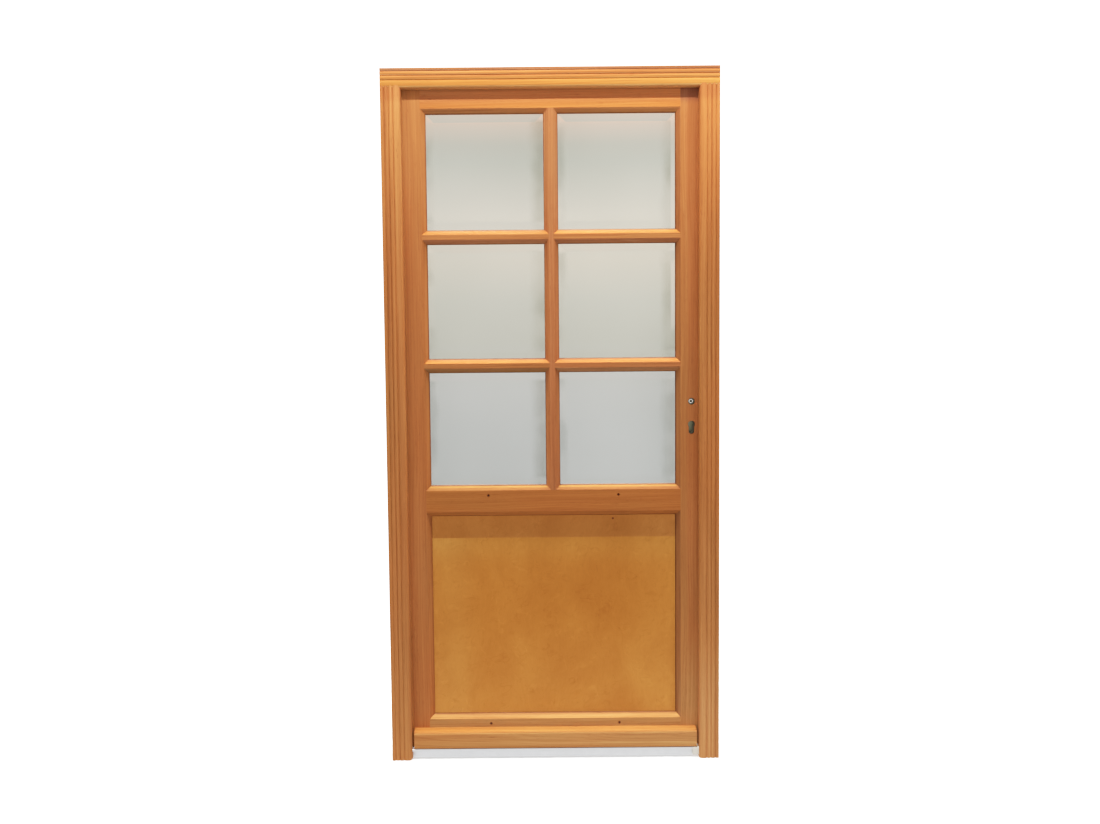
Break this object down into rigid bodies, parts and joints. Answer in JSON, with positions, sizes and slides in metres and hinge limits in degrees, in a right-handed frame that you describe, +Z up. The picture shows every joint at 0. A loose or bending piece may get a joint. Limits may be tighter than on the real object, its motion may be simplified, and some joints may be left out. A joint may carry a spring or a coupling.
{
  "type": "half-glazed front door with frame",
  "caption": "Timber front door in a reeded frame: bevelled panes and glazing bars above a flat panel, weather bar, threshold, mortise lock with open spindle and cylinder holes, lift-off hinges.",
  "frame": {"origin": "on the floor, in the middle of the outline seen from above", "axes": "+X to the right seen from outside, +Y into the house, +Z up"},
  "size_m": [1.036, 0.098, 2.156],
  "materials": {
    "frame_wood": "stained and varnished timber, satin",
    "leaf_wood": "stained and varnished timber, satin",
    "panel_veneer": "varnished veneer panel, satin",
    "pane_glass": "clear glass with bevelled edges",
    "threshold_aluminium": "anodised, satin",
    "block_plastic": "moulded, matt",
    "seal_rubber": "extruded, matt",
    "lock_zinc": "zinc plated",
    "lock_steel": "brushed",
    "washer_brass": "plain"
  },
  "bodies": {
    "frame": {"frame_head": "frame_wood", "frame_jamb_left": "frame_wood", "frame_jamb_right": "frame_wood", "threshold": "threshold_aluminium", "threshold_end_block": "block_plastic", "seal_left": "seal_rubber", "seal_right": "seal_rubber", "seal_head": "seal_rubber", "strike_plate": "lock_steel", "strike_screws": "lock_steel", "hinge_frame_half_top": "lock_steel", "hinge_frame_half_middle": "lock_steel", "hinge_frame_half_bottom": "lock_steel", "hinge_pin_top": "lock_steel", "hinge_pin_middle": "lock_steel", "hinge_pin_bottom": "lock_steel", "hinge_washers": "washer_brass", "hinge_frame_screws": "lock_steel"},
    "leaf": {"hinge_stile": "leaf_wood", "lock_stile": "leaf_wood", "top_rail": "leaf_wood", "middle_rail": "leaf_wood", "bottom_rail": "leaf_wood", "glazing_bar_vertical": "leaf_wood", "glazing_bar_upper_left": "leaf_wood", "glazing_bar_upper_right": "leaf_wood", "glazing_bar_lower_left": "leaf_wood", "glazing_bar_lower_right": "leaf_wood", "glass_pane_top_left": "pane_glass", "glass_pane_top_right": "pane_glass", "glass_pane_middle_left": "pane_glass", "glass_pane_middle_right": "pane_glass", "glass_pane_bottom_left": "pane_glass", "glass_pane_bottom_right": "pane_glass", "lower_panel": "panel_veneer", "weather_bar": "leaf_wood", "glazing_beads_horizontal": "leaf_wood", "glazing_beads_vertical": "leaf_wood", "panel_beads": "leaf_wood", "hinge_leaf_half_top": "lock_steel", "hinge_leaf_half_middle": "lock_steel", "hinge_leaf_half_bottom": "lock_steel", "hinge_leaf_screws": "lock_steel", "lock_case": "lock_zinc", "lock_faceplate": "lock_steel", "faceplate_screws": "lock_steel", "inner_cover_plate": "lock_steel", "cover_plate_screws": "lock_steel"},
    "latch": {"latch_bolt": "lock_steel"},
    "deadbolt": {"deadbolt": "lock_steel"},
    "follower": {"lock_follower": "lock_zinc"}
  },
  "joints": [
    {"name": "door_swing", "type": "hinge", "parent": "frame", "child": "leaf", "pos_m": [-0.4665, 0.0423, 1.07], "axis": [0, 0, 1], "range_deg": [0, 105]},
    {"name": "follower_turn", "type": "hinge", "parent": "leaf", "child": "follower", "pos_m": [0.435, 0.012, 1.132], "axis": [0, -1, 0], "range_deg": [0, 35]},
    {"name": "latch_slide", "type": "slide", "parent": "leaf", "child": "latch", "axis": [1, 0, 0], "range_m": [-0.011, 0], "stiffness_N_per_m": 300, "springref_m": 0.01},
    {"name": "deadbolt_slide", "type": "slide", "parent": "leaf", "child": "deadbolt", "axis": [1, 0, 0], "range_m": [0, 0.02]}
  ],
  "couplings": [
    {"joint": "follower_turn", "follows": "latch_slide", "rad_per_m": -55.5}
  ]
}
